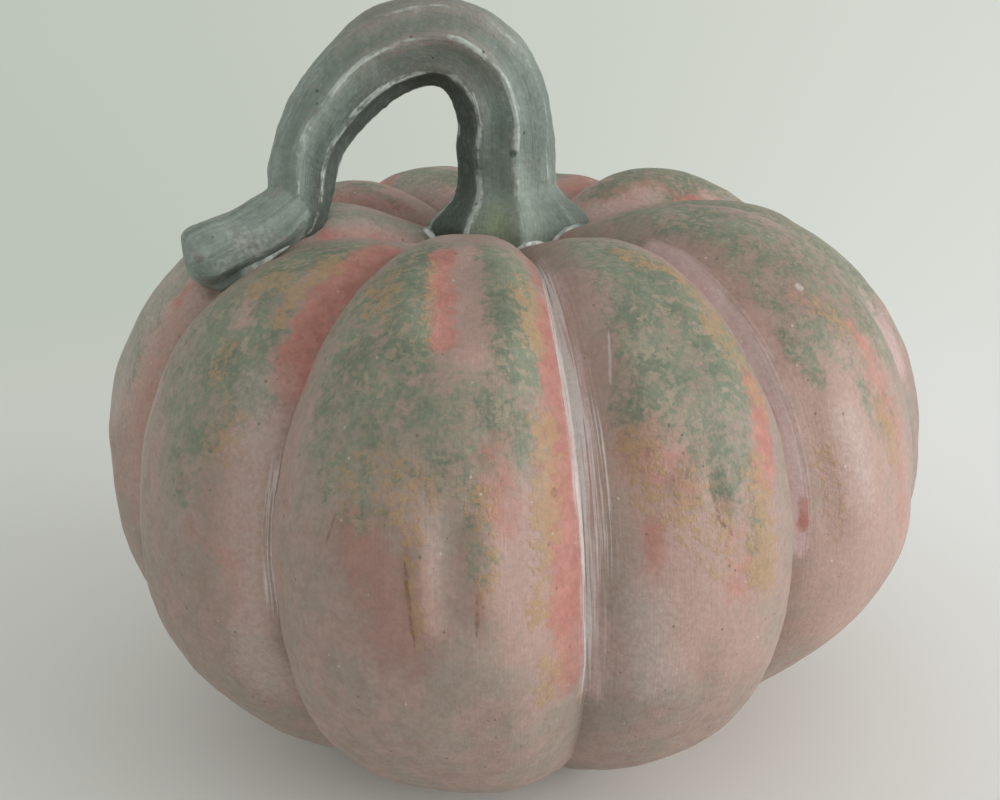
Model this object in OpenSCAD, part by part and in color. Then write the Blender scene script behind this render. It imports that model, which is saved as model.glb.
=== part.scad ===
// Ceramic pumpkin figure: a hollow lobed body with a solid ribbed stem bonded to its crown.
// Millimetres. The origin is on the base, below the middle of the crown. The front faces -Y.

/* [Body] */
// Radius of the body at its widest level
body_r = 85; // [80:1:92]
// Height of the widest level above the base
waist_z = 53; // [48:1:58]
// Height of the crown above the widest level, before it dips
crown_rise = 68; // [62:1:74]
// Depth of the dip that the stem stands in
crown_dip = 19; // [15:1:22]
// Width of the dip, as a share of the body's radius
dip_width = 0.41; // [0.35:0.01:0.45]
// Depth of a full groove between two lobes
groove_depth = 8; // [5:0.5:10]
// Thickness of the clay wall
wall = 7.5; // [6:0.5:9]

/* [Base] */
// Height by which the round underside is cut off flat
base_cut = 5; // [3:0.5:8]
// Radius of the vent hole in the base
vent_r = 7; // [5:0.5:8]
// Distance of the vent hole behind the middle of the base
vent_y = 16; // [14:0.5:18]

/* [Stem] */
// Radius of the round seat in the crown
seat_r = 19; // [18.5:0.5:20]
// Thickness of the slip under the stem
slip = 1; // [0.6:0.1:1.5]
// Ribs round the stem
stem_ribs = 8; // [6:2:8]
// Height of a rib above the valley beside it
rib_height = 1.6; // [0.5:0.1:2]
// How far the toes of the foot spread beyond the upright
foot_spread = 6.5; // [3:0.5:6.5]

/* [Hidden] */

clay_colour = "#a5887c";
stem_colour = "#71806f";
slip_colour = "#d6d4cc";

// One row for each lobe, from the front round by the right: bearing of the groove that ends it,
// reach, height of its crown, fullness low down, and depth of that groove.
// All but the bearing are shares of the full value.
lobes = [
    [8, 1.04, 0.99, 1.01, 1.0],
    [38, 1.0, 0.965, 1.0, 1.0],
    [75, 1.005, 1.01, 0.86, 0.5],
    [103, 1.045, 0.97, 1.0, 0.9],
    [141, 0.99, 1.03, 1.0, 1.0],
    [180, 0.99, 1.0, 1.0, 1.0],
    [220, 1.01, 1.04, 1.0, 1.0],
    [253, 0.99, 1.02, 1.0, 1.0],
    [293, 1.005, 1.01, 1.02, 0.9],
    [329, 0.97, 0.95, 1.04, 1.0]
];
lobe_count = len(lobes);
BEARING = 0;
REACH = 1;
CROWN = 2;
LOW = 3;
DEPTH = 4;

// Fullness of the body's outline above and below its widest level; 2 is an ellipse
upper_fullness = 2.35;
lower_fullness = 2;
// How long a lobe stays full before it falls into its groove
lobe_roundness = 2.8;
// A groove is this much shallower on the crown than on the side
crown_groove = 0.75;
// Share of the radius over which the lobes rise out of the dip
lobe_start = 0.35;

outer_columns = 8;
outer_rings = [4, 10, 15, 20, 25, 31, 37, 43, 49, 56, 63, 70, 77, 84, 90];
inner_columns = 4;
inner_rings = [6, 16, 26, 37, 49, 63, 77, 90];
outer_low_rings = 12;
inner_low_rings = 6;

seat_z = waist_z + crown_rise - crown_dip;
seat_x = 1.6;
through = 1;

// The stem's two stretches, the arch and the end that lies on the shoulder:
// across, along and height above the seat, then the thickness there
arch_route = [
    [1.6, 0, 1, 19.8], [1.6, 0, 5, 19.4], [1.6, 0, 11, 19.2], [1.6, -0.5, 19, 19.2], [1.2, -1, 27, 18.8],
    [-1.4, -1, 34.2, 18], [-7, -1.5, 39.2, 17], [-14.5, -2, 40.6, 16.6], [-22, -3, 38.6, 16.4],
    [-29.3, -4.5, 33.2, 15.6], [-35, -6.5, 26.4, 14.4], [-38.4, -8.5, 20, 13], [-39.4, -10, 13.5, 12.6],
    [-39.4, -11, 7, 12.6]
];
end_route = [
    [-39, -11, 12, 9.5], [-44.5, -14.6, 8.6, 12.2], [-51, -18, 5.6, 11.8], [-55.5, -20.2, 3.4, 11.4],
    [-58.2, -21.5, 2.1, 10], [-59.3, -22, 1.6, 6.5]
];
arch_steps = 3;
end_steps = 3;
stem_sides = 32;
// The routes were set out on a body of this radius
route_body_r = 85;
// Height over which the foot's toes draw in to the upright
foot_height = 8;
// Shares of the spread that widen the whole foot and that stand out as toes
foot_flare = 0.75;
toe_share = 0.25;
// A stretch that heads up more steeply than this is the upright
upright = 0.9;

// Bed of the stem's end: how far it runs either way, its width, and its depth under the middle line
bed_back = 20;
bed_front = 12;
bed_width = 17;
bed_depth = 4.4;
tip_slip_length = 25;
tip_slip_width = 8.5;
tip_slip_start = 18;
// Raised rim of the slip round the foot
slip_rim_width = 1.6;
slip_rim_slope = 0.6;
slip_rim_z = 2.4;
slip_shoulder_z = 1.8;

function smooth(a) = let (c = min(max(a, 0), 1)) c * c * (3 - 2 * c);
function lobe(i) = lobes[(i + lobe_count) % lobe_count];
function unit(v) = v / norm(v);

// A lobe's own value on its crest, and the mean of two neighbours, less the groove, between them
function across(i, s, key, drop) =
    let (right = s < 0 ? i - 1 : i)
    let (edge = (lobe(right)[key] + lobe(right + 1)[key]) / 2 - drop * lobe(right)[DEPTH])
    lobe(i)[key] + (edge - lobe(i)[key]) * pow(abs(s), lobe_roundness);

function bearing(i, s) =
    let (right = lobes[i][BEARING])
    let (left = i == 0 ? lobes[lobe_count - 1][BEARING] - 360 : lobes[i - 1][BEARING])
    left + (right - left) * (s + 1) / 2;

function ring_point(i, s, share, inset, z) =
    let (reach = body_r * across(i, s, REACH, groove_depth / body_r) - inset)
    [share * reach * sin(bearing(i, s)), -share * reach * cos(bearing(i, s)), z];

// A point of the skin above the widest level; fall is 0 at the crown and 90 at that level
function upper_point(i, s, fall, inset) =
    let (share = pow(sin(fall), 2 / upper_fullness))
    let (height = across(i, s, CROWN, crown_groove * groove_depth / body_r) - 1)
    let (top = (crown_rise - inset) * (1 + height * smooth(share / lobe_start)))
    let (dip = crown_dip * exp(-pow(share / dip_width, 2)))
    ring_point(i, s, share, inset, waist_z + top * pow(cos(fall), 2 / upper_fullness) - dip);

// A point of the skin below the widest level; part is 0 at that level and 1 on the flat
function lower_point(i, s, part, inset) =
    let (power = 2 / (lower_fullness * across(i, s, LOW, 0)))
    let (deep = waist_z + base_cut - inset)
    let (last = asin(pow((waist_z - inset) / deep, 1 / power)))
    ring_point(i, s, pow(cos(part * last), power), inset, waist_z - deep * pow(sin(part * last), power));

// A closed lobed form, as rings of points from the crown down to a flat base
module lobed_form(columns, falls, low_rings, inset) {
    places = [for (i = [0 : lobe_count - 1], c = [0 : columns - 1]) [i, 2 * c / columns - 1]];
    n = len(places);
    upper = [for (fall = falls, p = places) upper_point(p[0], p[1], fall, inset)];
    lower = [for (k = [1 : low_rings], p = places) lower_point(p[0], p[1], k / low_rings, inset)];
    rings = len(falls) + low_rings;
    top = [0, 0, seat_z - inset];
    sides = [for (r = [0 : rings - 2], c = [0 : n - 1])
        let (a = r * n + c, b = r * n + (c + 1) % n) each [[a, b, a + n], [b, b + n, a + n]]];
    cap = [for (c = [0 : n - 1]) [rings * n, (c + 1) % n, c]];
    base = [[for (c = [0 : n - 1]) (rings - 1) * n + c]];
    polyhedron(concat(upper, lower, [top]), concat(sides, cap, base), convexity = 10);
}

function route_point(route, i) =
    let (p = route[min(max(i, 0), len(route) - 1)], k = body_r / route_body_r)
    [k * p[0], k * p[1], seat_z + slip - 1 + p[2], p[3]];

// A smooth curve through a route's points
function on_route(route, i, t) =
    let (a = route_point(route, i - 1), b = route_point(route, i))
    let (c = route_point(route, i + 1), d = route_point(route, i + 2))
    b + t / 2 * ((c - a) + t * ((2 * a - 5 * b + 4 * c - d) + t * (3 * b - a - 3 * c + d)));

function place(p) = [p[0], p[1], p[2]];

// The bed's own directions: along the stem's end, across it, and out of the body
bed_middle = place(route_point(end_route, 2));
bed_along = unit(place(route_point(end_route, 3)) - place(route_point(end_route, 1)));
bed_out = unit([0, 0, 1] - bed_along[2] * bed_along);
bed_across = cross(bed_out, bed_along);

// Draws its children on the bed, with X along the stem's end and Z out of the body
module on_bed() {
    matrix = [for (r = [0 : 2]) [bed_along[r], bed_across[r], bed_out[r], bed_middle[r]]];
    multmatrix(concat(matrix, [[0, 0, 0, 1]])) translate([0, 0, -bed_depth]) children();
}

// The stem's skin at one turn round its route; the ribs grow into toes at the foot
function stem_point(p, heading, turn) =
    let (side = unit([0, 1, 0] - heading[1] * heading), front = cross(side, heading))
    let (foot = heading[2] > upright ? foot_spread * exp(-(p[2] - seat_z - slip) / foot_height) : 0)
    let (rib = rib_height / 2 * p[3] / arch_route[0][3] + toe_share * foot)
    let (r = p[3] / 2 + foot_flare * foot + rib * cos(stem_ribs * turn))
    place(p) + r * (cos(turn) * front + sin(turn) * side);

module ribbed_coil(route, steps, start) {
    last = len(route) - 1;
    stations = concat(
        [for (i = [0 : last - 1], k = [0 : steps - 1]) on_route(route, i, k / steps)],
        [on_route(route, last, 0)]);
    n = len(stations);
    headings = [for (k = [0 : n - 1])
        k == 0 ? start : unit(place(stations[min(k + 1, n - 1)]) - place(stations[k - 1]))];
    skin = [for (k = [0 : n - 1], m = [0 : stem_sides - 1])
        stem_point(stations[k], headings[k], 360 * m / stem_sides)];
    sides = [for (k = [0 : n - 2], m = [0 : stem_sides - 1])
        let (a = k * stem_sides + m, b = k * stem_sides + (m + 1) % stem_sides)
        each [[a, a + stem_sides, b], [b, a + stem_sides, b + stem_sides]]];
    foot = [[for (m = [0 : stem_sides - 1]) m]];
    end = [[for (m = [stem_sides - 1 : -1 : 0]) (n - 1) * stem_sides + m]];
    polyhedron(skin, concat(sides, foot, end), convexity = 10);
}

module body_shell() {
    color(clay_colour) difference() {
        lobed_form(outer_columns, outer_rings, outer_low_rings, 0);
        lobed_form(inner_columns, inner_rings, inner_low_rings, wall);
        translate([seat_x, 0, seat_z]) cylinder(r = seat_r, h = crown_dip, $fn = 96);
        translate([0, vent_y, -through]) cylinder(r = vent_r, h = wall + 2 * through, $fn = 64);
        on_bed() translate([-bed_back, -bed_width / 2, -slip])
            cube([bed_back + bed_front, bed_width, crown_dip]);
    }
}

module stem() {
    color(stem_colour) difference() {
        union() {
            ribbed_coil(arch_route, arch_steps, [0, 0, 1]);
            ribbed_coil(end_route, end_steps, bed_along);
        }
        on_bed() translate([-bed_back, -bed_width, -crown_dip])
            cube([bed_back + bed_front, 2 * bed_width, crown_dip]);
    }
}

// A thin disc with a raised rim that fills the seat round the foot
module stem_foot_slip() {
    rim = seat_r - slip_rim_width;
    outline = [[0, 0], [seat_r, 0], [seat_r, slip_rim_z * slip],
        [rim + slip_rim_slope, slip_shoulder_z * slip], [rim, slip], [0, slip]];
    color(slip_colour) translate([seat_x, 0, seat_z]) rotate_extrude($fn = 96) polygon(outline);
}

module stem_tip_slip() {
    half = (tip_slip_length - tip_slip_width) / 2;
    color(slip_colour) on_bed() translate([tip_slip_length / 2 - tip_slip_start, 0, -slip]) union() {
        for (side = [-1, 1]) translate([side * half, 0, 0]) cylinder(d = tip_slip_width, h = slip, $fn = 48);
        translate([-half, -tip_slip_width / 2, 0]) cube([2 * half, tip_slip_width, slip]);
    }
}

body_shell();
stem();
stem_foot_slip();
stem_tip_slip();
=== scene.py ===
import math
from functools import partial
from types import SimpleNamespace

import bpy
import numpy as np
from mathutils import Matrix, Vector, noise


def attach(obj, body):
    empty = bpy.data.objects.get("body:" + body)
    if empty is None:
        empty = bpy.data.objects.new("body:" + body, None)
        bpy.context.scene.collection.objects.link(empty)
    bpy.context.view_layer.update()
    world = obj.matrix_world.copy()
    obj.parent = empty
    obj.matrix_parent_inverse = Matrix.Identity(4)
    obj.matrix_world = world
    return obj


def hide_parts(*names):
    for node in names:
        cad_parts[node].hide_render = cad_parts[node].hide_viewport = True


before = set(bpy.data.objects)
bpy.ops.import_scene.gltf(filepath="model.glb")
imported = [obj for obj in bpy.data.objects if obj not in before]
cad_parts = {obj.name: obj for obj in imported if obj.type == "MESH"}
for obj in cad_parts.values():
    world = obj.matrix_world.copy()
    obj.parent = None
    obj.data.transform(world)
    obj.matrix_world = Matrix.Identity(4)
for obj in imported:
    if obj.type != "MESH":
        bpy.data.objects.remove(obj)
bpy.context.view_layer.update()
mm = 0.001
sameSpot = 0.0005    # vertices closer than this, in mm, are one
noiseRoughness = 0.62
print("frame loaded:", sorted(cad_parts))


# Small helpers that every piece uses

def addPrimitive(operator, name, **options):
    bpy.ops.object.select_all(action="DESELECT")
    operator(**options)
    piece = bpy.context.object
    piece.name = name
    piece.data.name = name
    return piece


def makeActive(piece):
    bpy.ops.object.select_all(action="DESELECT")
    piece.select_set(True)
    bpy.context.view_layer.objects.active = piece


def applyModifier(piece, kind, **settings):
    makeActive(piece)
    modifier = piece.modifiers.new(kind.title(), kind)
    for key, value in settings.items():
        setattr(modifier, key, value)
    bpy.ops.object.modifier_apply(modifier=modifier.name)


def joinPieces(piece, others):
    makeActive(piece)
    for other in others:
        other.select_set(True)
    bpy.ops.object.join()


def editAll(operator, **options):
    # one edit to the whole mesh of the active piece
    bpy.ops.object.mode_set(mode="EDIT")
    bpy.ops.mesh.select_all(action="SELECT")
    operator(**options)
    bpy.ops.object.mode_set(mode="OBJECT")


def readVectors(piece, name):
    flat = np.empty(len(piece.data.vertices) * 3)
    piece.data.vertices.foreach_get(name, flat)
    return flat.reshape(-1, 3)


def movePlaces(piece, places):
    piece.data.vertices.foreach_set("co", np.ascontiguousarray(places, dtype=np.float32).ravel())
    piece.data.update()


def storeField(piece, name, values):
    values = np.asarray(values, dtype=np.float32)
    kind = "FLOAT" if values.ndim == 1 else "FLOAT_VECTOR"
    field = piece.data.attributes.new(name, kind, "POINT")
    field.data.foreach_set("value" if values.ndim == 1 else "vector", values.ravel())


def ease(a):
    a = np.clip(a, 0, 1)
    return a * a * (3 - 2 * a)


def unit(vectors):
    return vectors / np.linalg.norm(vectors, axis=-1, keepdims=True)


def lumps(places, size, seed, octaves=2):
    # smooth hand-made unevenness, about -1 to 1, with lumps of the given size in mm
    shift = Vector((seed * 7.3, seed * 3.1, seed * 5.7))
    return np.array([noise.fractal(Vector(p) / size + shift, 1.0, 2.0, octaves) for p in places.tolist()])


def skinGrid(name, points, around=None):
    # a grid primitive drawn over rings of points in mm; seams and poles close where its edges meet;
    # around, an angle for each column, is kept on the piece for its paint
    rings, columns = points.shape[:2]
    piece = addPrimitive(bpy.ops.mesh.primitive_grid_add, name, size=2,
                         x_subdivisions=columns - 1, y_subdivisions=rings - 1)
    start = readVectors(piece, "co")
    column = np.rint((start[:, 0] + 1) / 2 * (columns - 1)).astype(int)
    ring = np.rint((start[:, 1] + 1) / 2 * (rings - 1)).astype(int)
    movePlaces(piece, points[ring, column])
    if around is not None:
        turn = around[column]
        storeField(piece, "around", np.stack([np.sin(turn), -np.cos(turn), 0 * turn], axis=-1))
    editAll(bpy.ops.mesh.remove_doubles, threshold=sameSpot)
    return piece


def finishPiece(piece, material, node, angle=None):
    # from mm to metres, smooth faces, finish, and the part of the frame that it stands for
    movePlaces(piece, readVectors(piece, "co") * mm)
    makeActive(piece)
    if angle:
        bpy.ops.object.shade_smooth_by_angle(angle=math.radians(angle))
    else:
        bpy.ops.object.shade_smooth()
    piece.data.materials.clear()
    piece.data.materials.append(material)
    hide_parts(node)
    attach(piece, "root")
    print(piece.name, "done:", len(piece.data.polygons), "faces")


# Camera at the photograph's angle, with the slight roll of a hand-held shot

view = {
    "focalLength": 41.4,
    "target": (-1.5, 0, 66.8),
    "distance": 252.5,
    "elevation": 18.45,
    "roll": 1.93,
    "sensorWidth": 36,
    "clipStart": 0.01,
}


def makeCamera():
    e = math.radians(view["elevation"])
    roll = math.radians(view["roll"])
    ahead = Vector((0, math.cos(e), -math.sin(e)))
    level = Vector((0, math.sin(e), math.cos(e)))
    across = Vector((1, 0, 0))
    right = math.cos(roll) * across - math.sin(roll) * level
    up = math.sin(roll) * across + math.cos(roll) * level
    place = (Vector(view["target"]) - ahead * view["distance"]) * mm
    camera = bpy.data.objects.new("camera", bpy.data.cameras.new("camera"))
    bpy.context.scene.collection.objects.link(camera)
    turn = Matrix((right, up, -ahead)).transposed()
    camera.matrix_world = Matrix.Translation(place) @ turn.to_4x4()
    camera.data.lens = view["focalLength"]
    camera.data.sensor_width = view["sensorWidth"]
    camera.data.clip_start = view["clipStart"]
    bpy.context.scene.camera = camera


makeCamera()
print("camera set")


# Node helpers and the effects that several finishes share

def colour(code):
    # a paint colour as it looks, such as b9695c, in the shader's linear values
    parts = [int(code[i:i + 2], 16) / 255 for i in (0, 2, 4)]
    return tuple(p / 12.92 if p < 0.04045 else ((p + 0.055) / 1.055) ** 2.4 for p in parts) + (1,)


def addNode(tree, kind, inputs=None, **settings):
    node = tree.nodes.new(kind)
    for key, value in settings.items():
        setattr(node, key, value)
    for key, value in (inputs or {}).items():
        if isinstance(value, bpy.types.NodeSocket):
            tree.links.new(value, node.inputs[key])
        else:
            node.inputs[key].default_value = value
    return node


def sums(tree, operation, a, b):
    return addNode(tree, "ShaderNodeMath", {0: a, 1: b}, operation=operation).outputs[0]


def blendColours(tree, share, under, over, mode="MIX"):
    node = addNode(tree, "ShaderNodeMix", {0: share, 6: under, 7: over}, data_type="RGBA", blend_type=mode)
    return node.outputs[2]


def readField(tree, name, output="Fac"):
    return addNode(tree, "ShaderNodeAttribute", attribute_name=name).outputs[output]


def softStep(tree, value, low, high, least=0.0, most=1.0):
    node = addNode(tree, "ShaderNodeMapRange", {"Value": value, "From Min": low, "From Max": high,
                                                "To Min": least, "To Max": most},
                   interpolation_type="SMOOTHSTEP")
    return node.outputs["Result"]


def cloud(tree, where, size, detail, output=0):
    node = addNode(tree, "ShaderNodeTexNoise", {"Vector": where, "Scale": 1 / (size * mm), "Detail": detail,
                                                "Roughness": noiseRoughness})
    return node.outputs[output]


def channels(tree, colours):
    return addNode(tree, "ShaderNodeSeparateColor", {"Color": colours}).outputs


def newGroup(name, inputs, outputs):
    # inputs and outputs give the kind of each socket by its name
    group = bpy.data.node_groups.new(name, "ShaderNodeTree")
    for way, sockets in (("INPUT", inputs), ("OUTPUT", outputs)):
        for socket, kind in sockets.items():
            group.interface.new_socket(name=socket, in_out=way, socket_type="NodeSocket" + kind)
    return group, group.nodes.new("NodeGroupInput").outputs, group.nodes.new("NodeGroupOutput").inputs


def placeGroup(tree, group, **inputs):
    return addNode(tree, "ShaderNodeGroup", inputs, node_tree=group).outputs


def nearPlace(tree, place, spot):
    # 1 at a place on the piece, falling to 0 at its reach
    middle, reach = spot
    away = addNode(tree, "ShaderNodeVectorMath", {0: place, 1: Vector(middle) * mm}, operation="DISTANCE")
    return softStep(tree, away.outputs["Value"], reach * mm, 0.25 * reach * mm)


def toolsFor(tree):
    # the helpers above, bound to one tree of nodes
    helpers = {"node": addNode, "blend": blendColours, "field": readField, "step": softStep, "cloud": cloud,
               "channels": channels, "group": placeGroup, "near": nearPlace}
    operations = {"times": "MULTIPLY", "plus": "ADD", "less": "SUBTRACT", "over": "DIVIDE",
                  "most": "MAXIMUM", "above": "GREATER_THAN", "power": "POWER"}
    bound = {name: partial(helper, tree) for name, helper in helpers.items()}
    bound.update((name, partial(sums, tree, operation)) for name, operation in operations.items())
    return SimpleNamespace(link=tree.links.new, **bound)


def makeDabs():
    # paint that a sponge or a dry brush leaves: a cover from 0 to 1, broken up by blots, dabs and specks
    floats = dict.fromkeys(("Cover", "Blots", "Dabs", "Specks", "Ragged", "Soft"), "Float")
    group, given, result = newGroup("brokenPaint", floats, {"Mask": "Float"})
    do = toolsFor(group)
    mixed = 0.0
    for name, share in (("Blots", 0.2), ("Dabs", 0.52), ("Specks", 0.28)):
        mixed = do.plus(mixed, do.times(given[name], share))
    level = do.plus(given["Cover"], do.times(do.less(mixed, 0.5), given["Ragged"]))
    laid = do.step(level, do.less(0.5, given["Soft"]), do.plus(0.5, given["Soft"]))
    bare = do.step(given["Cover"], 0.0, 0.3)
    do.link(do.times(laid, bare), result["Mask"])
    return group


def makeClayGrain():
    # the fired clay under the paint: a fine uneven height, with a few small pits and pale beads
    group, given, result = newGroup("clayGrain", {"Where": "Vector", "Grain": "Float"},
                                    dict.fromkeys(("Height", "Pits", "Beads"), "Float"))
    do = toolsFor(group)
    soft = do.node("ShaderNodeTexNoise", {"Vector": given["Where"], "Scale": given["Grain"],
                                          "Detail": 5.0, "Roughness": noiseRoughness}).outputs[0]
    spots = do.node("ShaderNodeTexVoronoi", {"Vector": given["Where"],
                                             "Scale": do.times(given["Grain"], 0.9)}).outputs
    chance = do.channels(spots["Color"])
    dot = do.step(spots["Distance"], 0.34, 0.12)
    pits = do.times(dot, do.above(chance[0], 0.985))
    beads = do.times(dot, do.above(chance[1], 0.99))
    height = do.plus(do.less(soft, do.times(pits, 0.6)), do.times(beads, 0.4))
    for name, value in (("Height", height), ("Pits", pits), ("Beads", beads)):
        do.link(value, result[name])
    return group


def makeDrawnLine():
    # a straight mark on the front, from a start along a way; depth hardly counts, so it follows the relief
    group, given, result = newGroup(
        "drawnLine", {"Where": "Vector", "Start": "Vector", "Way": "Vector", "Reach": "Float"},
        {"Mask": "Float"})
    do = toolsFor(group)

    def vectors(operation, a, b, output="Vector"):
        return do.node("ShaderNodeVectorMath", {0: a, 1: b}, operation=operation).outputs[output]

    flat = (1, 0.15, 1)
    way = vectors("MULTIPLY", given["Way"], flat)
    gone = vectors("MULTIPLY", vectors("SUBTRACT", given["Where"], given["Start"]), flat)
    share = do.over(vectors("DOT_PRODUCT", gone, way, "Value"), vectors("DOT_PRODUCT", way, way, "Value"))
    share = do.node("ShaderNodeClamp", {"Value": share}).outputs[0]
    nearest = do.node("ShaderNodeVectorMath", {0: way, "Scale": share}, operation="SCALE").outputs["Vector"]
    # it tapers to both ends, and never quite to nothing, because its width divides
    taper = do.power(do.times(do.times(share, do.less(1.0, share)), 4.0), 0.5)
    width = do.most(do.times(given["Reach"], taper), 0.001 * mm)
    away = do.over(vectors("DISTANCE", gone, nearest, "Value"), width)
    do.link(do.step(away, 1.0, 0.1), result["Mask"])
    return group


brokenPaint = makeDabs()
clayGrain = makeClayGrain()
drawnLine = makeDrawnLine()


def newMaterial(name):
    material = bpy.data.materials.new(name)
    material.use_nodes = True
    tree = material.node_tree
    tree.nodes.clear()
    do = toolsFor(tree)
    shader = do.node("ShaderNodeBsdfPrincipled")
    do.node("ShaderNodeOutputMaterial", {"Surface": shader.outputs[0]})
    place = do.node("ShaderNodeTexCoord").outputs["Object"]
    return material, shader, do, place


def addBump(do, shader, height, strength, distance):
    bump = do.node("ShaderNodeBump", {"Strength": strength, "Distance": distance * mm, "Height": height})
    do.link(bump.outputs["Normal"], shader.inputs["Normal"])


def marks(do, place, lines, shakeSize=2.2, shake=0.6):
    # thin marks on the skin, each from one place to another, shaken a little
    shaken = do.node("ShaderNodeVectorMath", {0: do.cloud(place, shakeSize, 2.0, 1), 1: (shake * mm,) * 3,
                                              2: place}, operation="MULTIPLY_ADD").outputs["Vector"]
    total = 0.0
    for start, end, reach in lines:
        start, end = Vector(start) * mm, Vector(end) * mm
        mark = do.group(drawnLine, Where=shaken, Start=start, Way=end - start, Reach=reach * mm)["Mask"]
        total = do.most(total, mark)
    return total


def mixPaints(finish):
    return {key: colour(code) for key, code in finish.items() if isinstance(code, str)}


# The body: one hollow of ten uneven lobes round a dipped crown

pumpkin = {
    "radius": 85,
    "waist": 53,
    "crownRise": 68,
    "crownDip": 19,
    "dipWidth": 0.41,
    "grooveDepth": 8,
    "wall": 7.5,
    "baseCut": 5,
    "ventRadius": 7,
    "ventBehind": 16,
    "upperFullness": 2.35,
    "lowerFullness": 2,
    "lobeRoundness": 2.8,
    "crownGroove": 0.75,
    "lobeStart": 0.35,
    "frontColumns": 62,
    "backColumns": 38,
    "crownRings": 112,
    "lowRings": 66,
    "baseRings": 5,
    "innerColumns": 8,
    "innerCrownRings": 24,
    "innerLowRings": 12,
    "innerBaseRings": 2,
    "inFront": ("front", "frontLeft", "frontRight", "right"),
    # for each lobe: bearing of the groove on its right, reach, crown, low fullness, depth of that groove
    "lobes": {
        "front": (8, 1.04, 0.99, 1.01, 1.0),
        "frontRight": (38, 1.0, 0.965, 1.0, 1.0),
        "right": (75, 1.005, 1.01, 0.86, 0.5),
        "farRight": (103, 1.045, 0.97, 1.0, 0.9),
        "backRight": (141, 0.99, 1.03, 1.0, 1.0),
        "back": (180, 0.99, 1.0, 1.0, 1.0),
        "backLeft": (220, 1.01, 1.04, 1.0, 1.0),
        "farLeft": (253, 0.99, 1.02, 1.0, 1.0),
        "left": (293, 1.005, 1.01, 1.02, 0.9),
        "frontLeft": (329, 0.97, 0.95, 1.04, 1.0),
    },
    # uneven clay: size of the lumps in mm, how far they stand out, and a seed
    "lumps": [(34, 0.9, 1), (11, 0.28, 2), (4.5, 0.1, 3)],
    # hand-made channels, creases and ridges of each lobe: half width, height, points as (side, down)
    "creases": {
        "front": [
            (5.5, -1.5, [(0.08, 0.33), (0.2, 0.45), (0.27, 0.57)]),
            (4.0, 0.9, [(-0.26, 0.35), (-0.12, 0.46), (-0.06, 0.6)]),
            (4.0, 0.8, [(0.56, 0.34), (0.62, 0.46), (0.64, 0.6)]),
            (1.4, -0.9, [(0.06, 0.82), (0.03, 0.9), (0.08, 0.99)]),
            (2.4, 0.8, [(0.1, 0.82), (0.11, 0.98)]),
            (3.6, -1.1, [(0.25, 0.78), (0.27, 0.98)]),
            (2.6, 0.5, [(0.42, 0.78), (0.43, 0.96)]),
            (5.0, -0.6, [(0.3, 1.08), (0.32, 1.4)]),
            (2.2, 0.5, [(0.94, 0.5), (0.95, 0.9), (0.93, 1.15)]),
        ],
        "frontRight": [
            (1.3, -0.8, [(-0.08, 0.78), (-0.04, 0.81), (0.02, 0.85)]),
            (2.0, 0.35, [(0.06, 0.8), (0.1, 0.85)]),
            (5.0, 0.8, [(-0.5, 0.5), (-0.46, 0.8)]),
            (4.0, -0.6, [(-0.72, 0.5), (-0.7, 0.95)]),
            (3.0, -0.5, [(-0.2, 1.0), (-0.15, 1.2)]),
        ],
        "right": [
            (5.0, -0.5, [(-0.84, 0.72), (-0.82, 0.95), (-0.78, 1.2)]),
            (5.0, 0.35, [(-0.6, 0.7), (-0.56, 1.0)]),
            (2.0, 0.5, [(-0.9, 0.5), (-0.9, 0.8), (-0.88, 1.0)]),
        ],
        "frontLeft": [
            (4.0, -0.7, [(0.55, 0.7), (0.6, 0.95), (0.62, 1.2)]),
            (2.0, 0.4, [(0.92, 0.6), (0.93, 0.95), (0.93, 1.2)]),
        ],
        "left": [(4.0, -0.6, [(0.5, 0.5), (0.5, 0.9)])],
        "farRight": [(5.0, -0.8, [(-0.2, 0.4), (-0.2, 0.8)])],
        "backRight": [(5.0, -0.9, [(0.2, 0.35), (0.2, 0.7)])],
        "back": [(5.0, -0.9, [(-0.25, 0.3), (-0.25, 0.6)])],
        "backLeft": [(5.0, 0.7, [(0.2, 0.4), (0.15, 0.9)])],
        "farLeft": [(5.0, -0.8, [(-0.1, 0.35), (-0.1, 0.7)])],
    },
    # a crease fades over one part in this many at each end, and the relief below this height in mm
    "creaseEnds": 5,
    "smoothBelow": 6,
}
lobeNames = list(pumpkin["lobes"])
lobeCount = len(lobeNames)
lobeParts = ("bearing", "reach", "crown", "low", "groove")
lobeShares = dict(zip(lobeParts, np.array(list(pumpkin["lobes"].values())).T))
rightGroove = lobeShares["bearing"]
leftGroove = np.roll(rightGroove, 1) - np.array([360] + [0] * (lobeCount - 1))


def acrossLobe(lobe, side, part, drop):
    # a lobe's own value on its crest, and the mean of two neighbours, less the groove, between them
    shares = lobeShares[part]
    right = np.where(side < 0, lobe - 1, lobe) % lobeCount
    edge = (shares[right] + shares[(right + 1) % lobeCount]) / 2
    edge = edge - drop * lobeShares["groove"][right]
    own = shares[lobe]
    return own + (edge - own) * np.abs(side) ** pumpkin["lobeRoundness"]


def lobeBearing(lobe, side):
    return np.radians(leftGroove[lobe] + (rightGroove[lobe] - leftGroove[lobe]) * (side + 1) / 2)


def lobeReach(lobe, side):
    return pumpkin["radius"] * acrossLobe(lobe, side, "reach", pumpkin["grooveDepth"] / pumpkin["radius"])


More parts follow.
